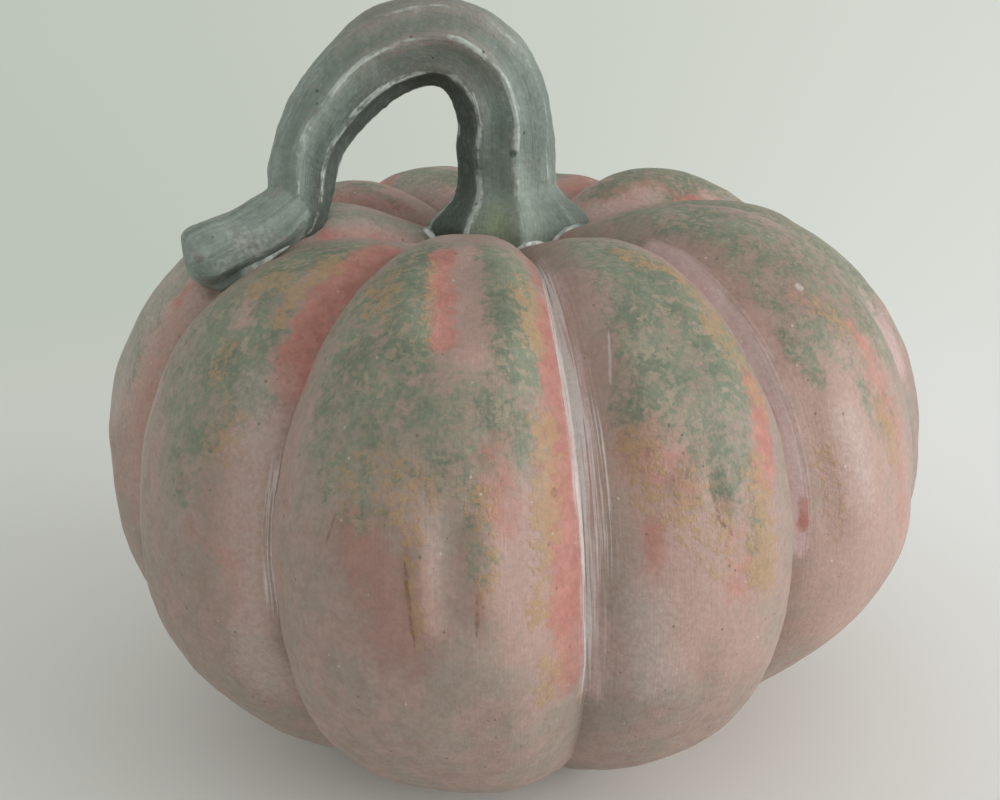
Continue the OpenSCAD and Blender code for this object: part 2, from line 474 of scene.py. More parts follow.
def crownHeight(lobe, side, share, inset=0.0):
    # height of the skin above the base, where share is how far out it is
    p = pumpkin
    depth = p["grooveDepth"] / p["radius"]
    rise = acrossLobe(lobe, side, "crown", p["crownGroove"] * depth) - 1
    top = (p["crownRise"] - inset) * (1 + rise * ease(share / p["lobeStart"]))
    fullness = p["upperFullness"]
    upright = np.sqrt(np.clip(1 - share ** fullness, 0, 1)) ** (2 / fullness)
    return p["waist"] + top * upright - p["crownDip"] * np.exp(-(share / p["dipWidth"]) ** 2)


def skin(lobe, side, down, inset=0.0):
    # points of the skin in mm: side runs from -1 to 1 across a lobe, down from 0 at the crown
    # through 1 at the widest level to 2 at the edge of the flat base
    p = pumpkin
    bearing = lobeBearing(lobe, side)
    share = np.sin(np.clip(down, 0, 1) * math.pi / 2) ** (2 / p["upperFullness"])
    z = crownHeight(lobe, side, share, inset)
    power = 2 / (p["lowerFullness"] * acrossLobe(lobe, side, "low", 0))
    deep = p["waist"] + p["baseCut"] - inset
    last = np.arcsin(((p["waist"] - inset) / deep) ** (1 / power))
    part = np.clip(down - 1, 0, 1) * last
    share = np.where(down > 1, np.cos(part) ** power, share)
    z = np.where(down > 1, p["waist"] - deep * np.sin(part) ** power, z)
    reach = lobeReach(lobe, side) - inset
    return np.stack([share * reach * np.sin(bearing), -share * reach * np.cos(bearing), z], axis=-1)


def crownAt(x, y):
    # height of the crown's skin below or above a place on the plan
    bearing = np.degrees(np.arctan2(x, -y))
    bearing = np.where(bearing < leftGroove[0], bearing + 360, bearing)
    lobe = np.searchsorted(rightGroove, bearing) % lobeCount
    bearing = np.where((lobe == 0) & (bearing > 180), bearing - 360, bearing)
    side = 2 * (bearing - leftGroove[lobe]) / (rightGroove[lobe] - leftGroove[lobe]) - 1
    side = np.clip(side, -1, 1)
    return crownHeight(lobe, side, np.clip(np.hypot(x, y) / lobeReach(lobe, side), 0, 1))


def onLobe(name, points, steps=10):
    # a line on the skin through given points, in short straight steps
    points = np.array(points, dtype=float)
    t = np.linspace(0, len(points) - 1, (len(points) - 1) * steps + 1)
    side = np.interp(t, np.arange(len(points)), points[:, 0])
    down = np.interp(t, np.arange(len(points)), points[:, 1])
    return skin(np.full(len(t), lobeNames.index(name)), side, down)


def distanceTo(line, places, reach):
    # distance in mm of each place from a line, and how far along the line its nearest point is
    low, high = line.min(axis=0) - reach, line.max(axis=0) + reach
    near = np.all((places > low) & (places < high), axis=1)
    away = np.full(len(places), 1e6)
    along = np.zeros(len(places))
    way = np.diff(line, axis=0)
    gone = places[near][:, None, :] - line[:-1]
    share = np.clip((gone * way).sum(axis=2) / np.maximum((way * way).sum(axis=1), 1e-9), 0, 1)
    gaps = np.linalg.norm(gone - share[..., None] * way, axis=2)
    rows, best = np.arange(len(gaps)), gaps.argmin(axis=1)
    away[near] = gaps[rows, best]
    along[near] = (best + share[rows, best]) / len(way)
    return away, along


def lobedForm(columns, crownRings, lowRings, baseRings, inset):
    # rings of points from the vent, over the flat base and up the lobes, to the middle of the crown
    p = pumpkin
    lobe = np.concatenate([np.full(count, number) for number, count in enumerate(columns)] + [[0]])
    share = np.concatenate([np.arange(count) / count for count in columns] + [[0]])
    side = 0.5 * np.sin(math.pi * (share - 0.5)) + 0.5 * (2 * share - 1)
    bearing = lobeBearing(lobe, side)
    base = skin(lobe, side, np.full(len(lobe), 2.0), inset)
    vent = np.stack([p["ventRadius"] * np.sin(bearing),
                     p["ventBehind"] - p["ventRadius"] * np.cos(bearing), base[:, 2]], axis=-1)
    rings = [vent + (base - vent) * k / baseRings for k in range(baseRings)]
    levels = [2 - k / lowRings for k in range(lowRings)]
    levels += [1 - k / crownRings for k in range(crownRings + 1)]
    rings += [skin(lobe, side, np.full(len(lobe), level), inset) for level in levels]
    return np.array(rings), bearing


def shapeSkin(piece):
    # lumps, channels and creases, along the skin's own normals; the flat base stays flat
    p = pumpkin
    places = readVectors(piece, "co")
    lift = np.zeros(len(places))
    for size, height, seed in p["lumps"]:
        lift += height * lumps(places, size, seed)
    for name, creases in p["creases"].items():
        for width, height, points in creases:
            away, along = distanceTo(onLobe(name, points), places, 3 * width)
            ends = ease(along * p["creaseEnds"]) * ease((1 - along) * p["creaseEnds"])
            lift += height * np.exp(-(away / width) ** 2) * ends
    lift *= ease(places[:, 2] / p["smoothBelow"])
    movePlaces(piece, places + readVectors(piece, "normal") * lift[:, None])


def makeBody():
    p = pumpkin
    columns = [p["frontColumns"] if name in p["inFront"] else p["backColumns"] for name in lobeNames]
    shell = skinGrid("pumpkinBody", *lobedForm(columns, p["crownRings"], p["lowRings"], p["baseRings"], 0))
    shapeSkin(shell)
    paintBody(shell)
    columns = [p["innerColumns"]] * lobeCount
    inner = lobedForm(columns, p["innerCrownRings"], p["innerLowRings"], p["innerBaseRings"], p["wall"])[0]
    hollow = skinGrid("hollow", inner)
    editAll(bpy.ops.mesh.flip_normals)
    joinPieces(shell, [hollow])
    bpy.ops.object.mode_set(mode="EDIT")
    bpy.ops.mesh.select_mode(type="EDGE")
    bpy.ops.mesh.select_all(action="DESELECT")
    bpy.ops.mesh.select_non_manifold()
    bpy.ops.mesh.bridge_edge_loops()    # the vent's own wall
    bpy.ops.mesh.select_mode(type="VERT")
    bpy.ops.object.mode_set(mode="OBJECT")
    return shell


# The body's paint: for each lobe, strokes of a colour, a radius in mm, a strength, and points as
# (side, down); the lobes behind have only what shows of their crowns

strokes = {
    "front": [
        ("green", 7, 1.3, [(-0.28, 0.34), (-0.13, 0.45), (-0.07, 0.56)]),
        ("green", 12, 0.8, [(-0.5, 0.42), (-0.43, 0.55), (-0.36, 0.66)]),
        ("green", 12, 0.62, [(-0.42, 0.62), (-0.3, 0.75)]),
        ("green", 13, 0.64, [(-0.05, 0.63), (0.2, 0.68), (0.48, 0.67)]),
        ("green", 6.5, 1.2, [(0.55, 0.34), (0.62, 0.46), (0.65, 0.58)]),
        ("green", 6, 0.6, [(0.62, 0.62), (0.6, 0.72)]),
        ("green", 3.5, 0.45, [(0.4, 0.77), (0.42, 0.88)]),
        ("coral", 3.6, 1.0, [(-0.03, 0.33), (0.09, 0.43), (0.14, 0.49), (0.16, 0.54)]),
        ("blush", 3.6, 0.6, [(0.86, 0.24), (0.9, 0.36), (0.92, 0.46)]),
        ("coral", 4.6, 0.9, [(0.92, 0.48), (0.91, 0.59), (0.91, 0.71)]),
        ("coral", 6.2, 1.0, [(0.9, 0.7), (0.9, 0.83), (0.88, 0.95)]),
        ("blush", 5.5, 0.72, [(0.88, 0.93), (0.86, 1.08)]),
        ("blush", 5, 0.5, [(0.5, 0.72), (0.52, 0.81)]),
        ("blush", 2, 0.62, [(0.3, 0.86), (0.3, 0.87)]),
        ("blush", 1.6, 0.55, [(0.4, 0.91), (0.41, 0.97)]),
        ("blush", 7, 0.3, [(-0.3, 0.82), (-0.16, 0.9)]),
        ("pink", 6, 0.9, [(0.2, 0.34), (0.3, 0.45), (0.36, 0.57)]),
        ("pink", 4, 0.55, [(0.12, 0.79), (0.13, 0.96)]),
        ("pink", 9, 0.95, [(0.56, 0.8), (0.6, 0.97)]),
        ("pink", 4, 0.6, [(-0.38, 0.5), (-0.36, 0.53)]),
        ("brown", 9, 0.95, [(-0.2, 0.85), (-0.06, 0.9), (0.0, 0.97)]),
        # painted shadow: a thin brown line along the valley of the crease at these points, beside its
        # raised step
        ("brown", 1.6, 1.0, [(0.06, 0.82), (0.03, 0.9), (0.08, 0.99)]),
        ("ochre", 3.4, 0.85, [(0.74, 0.42), (0.77, 0.54)]),
        ("ochre", 3.6, 0.98, [(0.8, 0.67), (0.79, 0.76), (0.77, 0.84)]),
        ("ochre", 3, 0.75, [(0.74, 0.86), (0.7, 0.95)]),
        ("ochre", 3.2, 0.75, [(0.75, 1.02), (0.74, 1.1)]),
        ("ochre", 2, 0.6, [(0.09, 0.82), (0.07, 0.9), (0.1, 0.97)]),
        ("ochre", 8, 0.36, [(-0.28, 0.75), (0.0, 0.78)]),
        ("ochre", 3.6, 0.5, [(0.4, 0.78), (0.43, 0.9)]),
        ("ochre", 2, 0.46, [(-0.1, 0.36), (0.02, 0.46), (0.06, 0.54)]),
        ("ochre", 6, 0.45, [(-0.5, 0.42), (-0.4, 0.48)]),
        ("haze", 2.4, 0.3, [(0.19, 0.8), (0.2, 0.9)]),
        ("haze", 2.4, 0.9, [(0.99, 0.3), (0.99, 0.9), (0.985, 1.15)]),
        ("white", 1.9, 1.05, [(0.995, 0.16), (0.995, 0.6), (0.99, 0.9), (0.98, 1.3)]),
    ],
    "frontLeft": [
        ("green", 7.5, 1.3, [(0.35, 0.3), (0.05, 0.36), (-0.02, 0.46)]),
        ("green", 12.5, 1.35, [(0.1, 0.54), (0.3, 0.6), (0.48, 0.61)]),
        ("green", 8, 0.8, [(0.02, 0.7), (0.3, 0.76)]),
        ("green", 12, 0.66, [(-0.3, 0.52), (-0.15, 0.66)]),
        ("green", 6, 0.55, [(0.1, 0.8), (0.25, 0.84)]),
        ("coral", 5.2, 1.0, [(0.72, 0.25), (0.82, 0.38), (0.86, 0.52), (0.92, 0.63)]),
        ("blush", 3.4, 0.45, [(0.95, 0.62), (0.95, 0.7)]),
        ("blush", 13, 0.22, [(0.4, 0.85), (0.55, 0.95)]),
        ("pink", 9, 0.9, [(0.76, 0.62), (0.8, 0.8), (0.8, 1.0)]),
        ("pink", 4, 0.9, [(0.14, 0.51), (0.22, 0.54)]),
        ("ochre", 3.8, 0.98, [(0.42, 0.36), (0.52, 0.38)]),
        ("ochre", 4.2, 0.95, [(0.04, 0.46), (0.2, 0.44)]),
        ("ochre", 2.8, 0.8, [(0.5, 0.42), (0.58, 0.52)]),
        ("ochre", 6, 0.38, [(0.58, 0.72), (0.62, 0.76)]),
        ("ochre", 3, 0.6, [(0.25, 0.6), (0.3, 0.64)]),
        ("haze", 8, 0.85, [(0.76, 0.66), (0.86, 0.74)]),
        ("haze", 4, 0.6, [(0.92, 0.64), (0.94, 0.72)]),
        ("haze", 6, 0.6, [(0.86, 0.8), (0.9, 1.02)]),
        ("haze", 7, 0.8, [(0.78, 1.1), (0.8, 1.22)]),
        ("haze", 4, 0.6, [(-0.6, 0.7), (-0.56, 0.95)]),
        ("white", 1.7, 0.5, [(0.975, 0.72), (0.975, 0.9), (0.975, 1.08)]),
        ("pink", 6, 0.8, [(-0.3, 0.12), (0.3, 0.14)]),
        ("haze", 6, 0.5, [(-0.3, 0.14), (0.2, 0.16)]),
    ],
    "left": [
        ("green", 13, 0.85, [(0.35, 0.46), (0.45, 0.6), (0.45, 0.7)]),
        ("green", 13, 0.8, [(-0.3, 0.38), (-0.2, 0.6)]),
        ("green", 6, 0.8, [(0.5, 0.34), (0.65, 0.44)]),
        ("coral", 1.8, 1.0, [(0.72, 0.55), (0.75, 0.58)]),
        ("blush", 5, 0.22, [(0.78, 0.6), (0.86, 0.7), (0.9, 0.85)]),
        ("pink", 8, 0.85, [(0.76, 0.5), (0.84, 0.7), (0.88, 0.95)]),
        ("haze", 12, 0.9, [(0.3, 0.42), (0.38, 0.6), (0.45, 0.8)]),
        ("pink", 9, 0.95, [(-0.7, 0.14), (0.0, 0.17), (0.7, 0.19)]),
        ("haze", 8, 0.95, [(-0.6, 0.16), (0.0, 0.18), (0.7, 0.2)]),
        ("green", 5, 0.42, [(0.6, 0.22), (0.6, 0.14)]),
        ("green", 2.8, 0.85, [(-0.7, 0.2), (0.0, 0.22), (0.6, 0.235)]),
        ("blush", 4, 0.7, [(0.85, 0.14), (0.9, 0.2)]),
        ("green", 3, 1.0, [(0.5, 0.24), (0.42, 0.18), (0.48, 0.13), (0.62, 0.1)]),
        ("haze", 5.5, 1.0, [(0.66, 0.22), (0.64, 0.16), (0.7, 0.12)]),
        ("coral", 4, 0.8, [(0.92, 0.22), (0.95, 0.27)]),
    ],
    "frontRight": [
        ("green", 9.5, 1.15, [(-0.3, 0.32), (-0.05, 0.4), (0.1, 0.47)]),
        ("green", 9, 1.08, [(0.25, 0.5), (0.42, 0.58), (0.38, 0.66)]),
        ("green", 9.5, 0.88, [(-0.28, 0.5), (-0.35, 0.6), (-0.38, 0.67)]),
        ("green", 11, 0.7, [(0.0, 0.56), (-0.05, 0.68), (0.05, 0.77)]),
        ("green", 6, 0.44, [(0.2, 0.72), (0.28, 0.8)]),
        ("coral", 4.4, 0.85, [(0.64, 0.67), (0.52, 0.74), (0.44, 0.81)]),
        ("blush", 8, 0.47, [(-0.5, 0.74), (-0.32, 0.79)]),
        ("blush", 2.6, 0.6, [(-0.54, 0.85), (-0.52, 0.9)]),
        ("blush", 6, 0.42, [(0.12, 0.9), (0.14, 0.96)]),
        ("pink", 13, 0.95, [(-0.45, 0.76), (-0.3, 0.86), (-0.25, 0.98)]),
        ("pink", 12, 0.8, [(0.1, 0.86), (0.1, 1.05)]),
        ("pink", 8, 0.45, [(-0.68, 0.5), (-0.72, 0.8)]),
        ("pink", 5, 0.6, [(-0.05, 0.56), (0.0, 0.6)]),
        ("ochre", 3.4, 1.0, [(0.52, 0.55), (0.6, 0.62)]),
        ("ochre", 2.6, 0.8, [(0.5, 0.42), (0.62, 0.5), (0.68, 0.57)]),
        ("ochre", 4.4, 0.78, [(0.36, 0.8), (0.33, 0.95)]),
        ("green", 3.4, 0.55, [(0.28, 0.8), (0.27, 0.94)]),
        ("ochre", 3.4, 0.55, [(0.1, 0.36), (0.2, 0.4)]),
        ("ochre", 4.5, 0.56, [(-0.58, 0.73), (-0.52, 0.8)]),
        ("ochre", 8, 0.4, [(-0.3, 0.82), (-0.1, 0.88)]),
        ("ochre", 3, 0.6, [(0.62, 0.62), (0.6, 0.7)]),
        ("haze", 7, 0.8, [(-0.6, 0.96), (-0.55, 1.1)]),
        ("haze", 3, 0.7, [(-0.975, 0.3), (-0.97, 0.9)]),
        ("haze", 4, 0.45, [(-0.92, 0.95), (-0.9, 1.2)]),
        ("white", 1.8, 0.85, [(-0.985, 0.2), (-0.975, 0.6), (-0.97, 1.15)]),
        ("white", 2.6, 0.34, [(-0.87, 0.6), (-0.85, 0.98)]),
        ("lilac", 4, 0.7, [(-0.98, 0.4), (-0.96, 0.8), (-0.96, 1.15)]),
    ],
    "right": [
        ("lilac", 3.2, 1.1, [(-0.965, 0.33), (-0.97, 0.5), (-0.97, 0.62), (-0.97, 0.78), (-0.97, 0.96)]),
        ("pink", 6, 0.5, [(-0.87, 0.36), (-0.87, 0.56), (-0.88, 0.8)]),
        ("haze", 2.6, 0.7, [(-0.95, 0.5), (-0.96, 0.9)]),
        ("green", 9, 0.9, [(-0.65, 0.31), (-0.35, 0.37), (-0.05, 0.42)]),
        ("green", 14, 0.64, [(-0.5, 0.44), (-0.26, 0.52), (0.05, 0.56)]),
        ("green", 12, 0.5, [(-0.48, 0.58), (-0.22, 0.62), (0.15, 0.67)]),
        ("green", 10, 0.34, [(-0.3, 0.7), (-0.1, 0.8)]),
        ("brown", 16, 0.8, [(-0.5, 0.4), (-0.3, 0.52), (0.0, 0.6)]),
        ("brown", 6, 0.6, [(-0.82, 0.58), (-0.8, 0.74)]),
        ("green", 5, 0.55, [(-0.74, 0.63), (-0.66, 0.68)]),
        ("green", 10, 0.6, [(0.3, 0.5), (0.5, 0.7)]),
        ("coral", 3, 0.7, [(-0.1, 0.65), (-0.08, 0.68)]),
        ("blush", 7, 0.55, [(-0.08, 0.71), (-0.03, 0.8)]),
        ("blush", 5, 0.52, [(0.02, 0.82), (0.04, 0.98)]),
        ("coral", 1.4, 1.0, [(-0.93, 0.89), (-0.93, 0.93)]),
        ("blush", 5, 0.36, [(-0.4, 0.56), (-0.36, 0.58)]),
        ("pink", 15, 1.0, [(-0.6, 0.74), (-0.5, 0.86), (-0.55, 1.02), (-0.6, 1.18)]),
        ("pink", 12, 0.85, [(-0.1, 0.74), (0.1, 1.0)]),
        ("ochre", 4.5, 0.26, [(-0.76, 0.82), (-0.74, 0.94)]),
        ("ochre", 4, 0.6, [(-0.14, 0.8), (-0.1, 0.88)]),
        ("ochre", 4, 0.42, [(-0.3, 0.6), (-0.2, 0.66)]),
        ("haze", 5, 0.7, [(-0.58, 0.78), (-0.55, 0.9)]),
        ("green", 7, 1.0, [(-0.05, 0.21), (-0.1, 0.3), (-0.22, 0.37)]),
    ],
    "farRight": [("green", 9, 0.9, [(-0.7, 0.38), (-0.75, 0.6)])],
    "backRight": [
        ("green", 5, 1.0, [(-0.26, 0.15), (-0.3, 0.23), (-0.38, 0.32), (-0.65, 0.39)]),
        ("pink", 8, 0.9, [(-0.75, 0.17), (-0.75, 0.3)]),
        ("haze", 4, 0.6, [(-0.85, 0.13), (-0.85, 0.24)]),
    ],
    "back": [("blush", 6, 0.7, [(-0.6, 0.2), (-0.6, 0.3)])],
    "backLeft": [
        ("green", 3.6, 1.0, [(0.6, 0.38), (0.52, 0.31), (0.38, 0.22)]),
        ("green", 6.5, 1.15, [(0.72, 0.3), (0.55, 0.235), (0.3, 0.2), (0.0, 0.18)]),
        ("haze", 6, 0.7, [(0.8, 0.16), (0.75, 0.28)]),
    ],
    "farLeft": [
        ("blush", 6, 0.56, [(0.62, 0.26), (0.65, 0.2), (0.68, 0.16)]),
        ("haze", 6, 0.5, [(0.5, 0.28), (0.6, 0.2)]),
        ("green", 2.6, 0.7, [(0.38, 0.3), (0.4, 0.22), (0.42, 0.16)]),
        ("green", 3.8, 1.1, [(0.52, 0.265), (0.3, 0.245), (0.0, 0.23)]),
    ],
}

# Strips that the sponge missed, so the green is thin there
bareStrips = [
    ("front", 5, 0.95, [(0.16, 0.33), (0.27, 0.45), (0.33, 0.57)]),
    ("frontLeft", 4.5, 0.8, [(0.14, 0.51), (0.22, 0.54)]),
    ("frontRight", 8, 0.85, [(-0.85, 0.3), (-0.75, 0.6)]),
    ("right", 6, 0.9, [(-0.92, 0.3), (-0.9, 0.5), (-0.88, 0.8)]),
    ("left", 5, 0.8, [(0.76, 0.52), (0.85, 0.72)]),
]

# Lobes round the back follow the same habit: a green shoulder, ochre edge, pink slope and coral groove
backPaint = {
    "rims": {"farRight": 0.25, "backRight": 0.22, "back": 0.27, "backLeft": 0.32, "farLeft": 0.33},
    "rimPaint": [("green", 5.5, 1.0, [(-0.8, 0.06), (-0.4, 0.02), (0.0, 0.0), (0.4, 0.02), (0.8, 0.06)]),
                 ("green", 8, 0.9, [(-0.5, 0.09), (0.0, 0.06), (0.45, 0.09)])],
    # each stroke sways a little, apart from those along a groove, and varies in radius and strength
    "seed": 31,
    "sway": 0.12,
    "steadyFrom": 0.8,
    "radii": (0.85, 1.15),
    "strengths": (0.9, 1.05),
    "habit": [
        ("pink", 14, 0.95, [(-0.4, 0.14), (0.0, 0.2), (0.4, 0.14)]),
        ("blush", 5, 0.45, [(-0.6, 0.14), (-0.66, 0.22)]),
        ("green", 11, 0.78, [(-0.3, 0.45), (-0.2, 0.64)]),
        ("green", 8, 0.72, [(0.3, 0.44), (0.4, 0.6)]),
        ("green", 8, 0.55, [(-0.1, 0.7), (0.25, 0.76)]),
        ("coral", 6, 0.95, [(0.86, 0.3), (0.86, 0.6), (0.88, 0.88)]),
        ("blush", 6, 0.55, [(0.88, 0.85), (0.9, 1.12)]),
        ("blush", 5, 0.6, [(-0.3, 0.76), (-0.24, 0.86)]),
        ("ochre", 3.2, 0.76, [(0.66, 0.4), (0.7, 0.58)]),
        ("ochre", 3.2, 0.73, [(0.68, 0.7), (0.7, 0.86)]),
        ("ochre", 3.2, 0.52, [(-0.5, 0.45), (-0.4, 0.52)]),
        ("pink", 12, 0.75, [(0.2, 0.78), (0.15, 1.0)]),
        ("brown", 12, 0.6, [(-0.35, 0.85), (-0.3, 1.0)]),
        ("white", 2.2, 0.5, [(0.985, 0.3), (0.98, 0.65), (0.975, 1.0)]),
        ("lilac", 5, 0.6, [(-0.92, 0.32), (-0.92, 0.8)]),
    ],
}
paints = ["green", "ochre", "coral", "blush", "pink", "white", "haze", "lilac", "brown"]

# How a stroke lies: it fades out a little past its radius, and a dry brush lands and lifts gradually
brush = {
    "spread": 1.25,
    "fullness": 1.05,
    "bareFullness": 1.2,
    "landing": 3,
    "dry": ("white",),
    "hairStretch": 0.022,
}


def backStrokes():
    b = backPaint
    draw = np.random.default_rng(b["seed"])
    made = {}
    for name, rim in b["rims"].items():
        made[name] = [(paint, radius, strength, [(s, d + rim) for s, d in points])
                      for paint, radius, strength, points in b["rimPaint"]]
        for paint, radius, strength, points in b["habit"]:
            sway = draw.uniform(-1, 1, 2) * b["sway"]
            steady = abs(points[0][0]) > b["steadyFrom"]
            moved = [(s if steady else s + sway[0], d + sway[1] * 0.5) for s, d in points]
            radius = radius * draw.uniform(*b["radii"])
            strength = strength * draw.uniform(*b["strengths"])
            made[name].append((paint, radius, strength, moved))
    return made


def paintBody(piece):
    places = readVectors(piece, "co")
    cover = {paint: np.zeros(len(places)) for paint in paints}
    every = [(name, *stroke) for part in (strokes, backStrokes()) for name in part for stroke in part[name]]
    for name, paint, radius, strength, points in every:
        away, along = distanceTo(onLobe(name, points), places, 1.3 * radius)
        laid = strength * ease(brush["fullness"] * (1 - away / radius / brush["spread"]))
        if paint in brush["dry"]:
            laid = laid * ease(brush["landing"] * along) * ease(brush["landing"] * (1 - along))
        cover[paint] = np.maximum(cover[paint], laid)
    for name, radius, strength, points in bareStrips:
        away = distanceTo(onLobe(name, points), places, radius)[0]
        cover["green"] *= 1 - strength * ease(brush["bareFullness"] * (1 - away / radius))
    for paint in paints:
        storeField(piece, paint, cover[paint])
    # brush hairs run down the lobes, so this place changes fast across a lobe and slowly along it
    around = np.empty(3 * len(places))
    piece.data.attributes["around"].data.foreach_get("vector", around)
    tilt = np.arctan2(places[:, 2] - pumpkin["waist"], np.hypot(places[:, 0], places[:, 1]))
    reach = pumpkin["radius"] * mm
    wound = reach * around.reshape(-1, 3)
    wound[:, 2] = reach * tilt
    storeField(piece, "streakAt", wound * (1, 1, brush["hairStretch"]))
    print("paint laid on:", len(every), "strokes")


bodyFinish = {
    "taupe": "9b8d82",
    "mauve": "a88e85",
    "umber": "8c796d",
    "brown": "96736a",
    "green": "778370",
    "deepGreen": "667462",
    "olive": "87886f",
    "ochre": "aa8c6b",
    "coral": "b98276",
    "deepCoral": "ae756b",
    "pink": "b5958b",
    "lilac": "c7aba8",
    "white": "d8d0cc",
    "haze": "bfb1ab",
    "tan": "a89684",
    "pits": "6f5b50",
    "crack": "7d5a4c",
    "beads": "d8d3cd",
    "roughness": (0.45, 0.65),
    "gloss": 0.32,
    "grain": 1100.0,
    # size in mm and detail of the noise that breaks the paint up
    "blots": (9, 2.0),
    "dabs": (3.0, 4.0),
    "specks": (0.9, 3.0),
    "flecks": (1.7, 3.0),
    "hairs": (0.34, 1.5),
    # for each paint: channel of that noise, raggedness, softness of the edge, strength
    "laid": {
        "brown": (0, 2.4, 0.5, 0.7),
        "pink": (1, 2.6, 0.5, 0.8),
        "lilac": (2, 1.8, 0.45, 0.95),
        "green": (0, 5.4, 0.46, 0.86),
        "blush": (1, 2.2, 0.46, 0.9),
        "coral": (2, 3.0, 0.28, 0.95),
        "ochre": (1, 7.0, 0.4, 0.76),
        "haze": (2, 2.2, 0.5, 0.42),
        "white": (2, 4.0, 0.45, 0.9),
    },
    "oliveWash": 0.22,
    # two dark spots beside the end of the stem, in the pits' colour: middle and reach in mm
    "darkSpotsAt": [[(-56.4, -22.3, 97.6), 1.7], [(-58.2, -22.6, 97.6), 1.1]],
    # cracks, and scratches down to white: start, end and reach in mm
    "cracks": [
        ((-16.3, -85, 71), (-15.4, -87, 57), 0.62), ((-5.6, -86.5, 66), (-6, -87.4, 59), 0.5),
        ((-26.5, -80.3, 76.6), (-28.5, -80.8, 71.5), 0.5), ((30.6, -75.4, 78), (32.4, -76.6, 70.6), 0.55),
        ((32, -76.6, 72), (34.4, -76.5, 69), 0.5), ((6.3, -78, 78.9), (6.7, -78, 77.5), 0.7),
    ],
    "scratches": [
        ((16.4, -63, 99.2), (16.1, -68.5, 92), 0.4), ((51, -42.6, 100.8), (52.6, -42.6, 100), 0.8),
    ],
}


def makeBodyMaterial():
    finish = bodyFinish
    paint = mixPaints(finish)
    material, shader, do, place = newMaterial("spongedPaint")
    field = {name: do.field(name) for name in paints}
    blots, dabs, specks, flecks = (do.channels(do.cloud(place, *finish[name], 1))
                                   for name in ("blots", "dabs", "specks", "flecks"))
    hairs = do.cloud(do.field("streakAt", "Vector"), *finish["hairs"])
    # ochre comes off in flecks, and lilac and white are dragged on by the brush's hairs
    ownNoise = {"ochre": (flecks[1], specks[1]), "lilac": (hairs, hairs), "white": (hairs, hairs)}

    def laid(name):
        channel, ragged, soft, strength = finish["laid"][name]
        dab, speck = ownNoise.get(name, (dabs[channel], specks[channel]))
        mask = do.group(brokenPaint, Cover=field[name], Blots=blots[channel], Dabs=dab, Specks=speck,
                        Ragged=ragged, Soft=soft)["Mask"]
        return do.times(mask, strength)

    # the wash: taupe drifting to mauve, with umber in its grain, and lilac dragged along a groove
    look = do.blend(do.step(blots[0], 0.36, 0.64), paint["taupe"], paint["mauve"])
    look = do.blend(do.step(dabs[1], 0.4, 0.7, 0.0, 0.42), look, paint["umber"])
    for name in ("brown", "pink", "lilac"):
        look = do.blend(laid(name), look, paint[name])
    # sponged green over a thin olive, with tan flecks where the sponge lifted the green again
    greenTone = do.blend(do.step(blots[1], 0.38, 0.62), paint["green"], paint["deepGreen"])
    greenTone = do.blend(do.step(specks[1], 0.48, 0.66, 0.0, 0.8), greenTone, paint["olive"])
    greenMask = laid("green")
    look = do.blend(do.times(field["green"], finish["oliveWash"]), look, paint["olive"])
    look = do.blend(greenMask, look, greenTone)
    lifted = do.times(do.step(flecks[2], 0.48, 0.6), do.step(blots[2], 0.38, 0.6, 0.2, 0.85))
    look = do.blend(do.times(greenMask, lifted), look, paint["tan"])
    # coral brushed down the slopes, dabs of ochre, a pale veil, and white in the grooves
    coralTone = do.blend(do.step(dabs[0], 0.36, 0.64), paint["coral"], paint["deepCoral"])
    ochreMask, whiteMask = laid("ochre"), laid("white")
    for mask, tone in ((laid("blush"), coralTone), (laid("coral"), coralTone), (ochreMask, paint["ochre"]),
                       (laid("haze"), paint["haze"]), (whiteMask, paint["white"])):
        look = do.blend(mask, look, tone)
    # wear: pits and beads of the clay, cracks, scratches, and a fine light and dark speckle
    grain = do.group(clayGrain, Where=place, Grain=finish["grain"])
    pits = grain["Pits"]
    # two dark spots by the stem's end, in the pits' colour, with no relief
    for darkSpot in finish["darkSpotsAt"]:
        pits = do.most(pits, do.near(place, darkSpot))
    cracks = do.times(marks(do, place, finish["cracks"]), do.step(specks[0], 0.36, 0.6, 0.2, 0.64))
    scratches = do.times(marks(do, place, finish["scratches"]), 0.45)
    for mask, tone in ((do.times(pits, 0.6), "pits"), (do.times(grain["Beads"], 0.4), "beads"),
                       (cracks, "crack"), (scratches, "beads")):
        look = do.blend(mask, look, paint[tone])
    look = do.blend(1.0, look, do.step(specks[2], 0.28, 0.72, 0.92, 1.07), "MULTIPLY")
    do.link(look, shader.inputs["Base Color"])
    do.link(do.step(dabs[2], 0.3, 0.7, *finish["roughness"]), shader.inputs["Roughness"])
    shader.inputs["Specular IOR Level"].default_value = finish["gloss"]
    # hairs and thick paint stand up from the clay's grain, and cracks cut into it
    height = do.less(grain["Height"], cracks)
    for mask, share in ((hairs, 0.35), (whiteMask, 0.4), (greenMask, 0.3), (ochreMask, 0.7)):
        height = do.plus(height, do.times(mask, share))
    addBump(do, shader, height, 0.5, 0.35)
    return material


finishPiece(makeBody(), makeBodyMaterial(), "body_shell", 50)


# The stem: a fluted coil that arches out of the crown and lies down on the shoulder

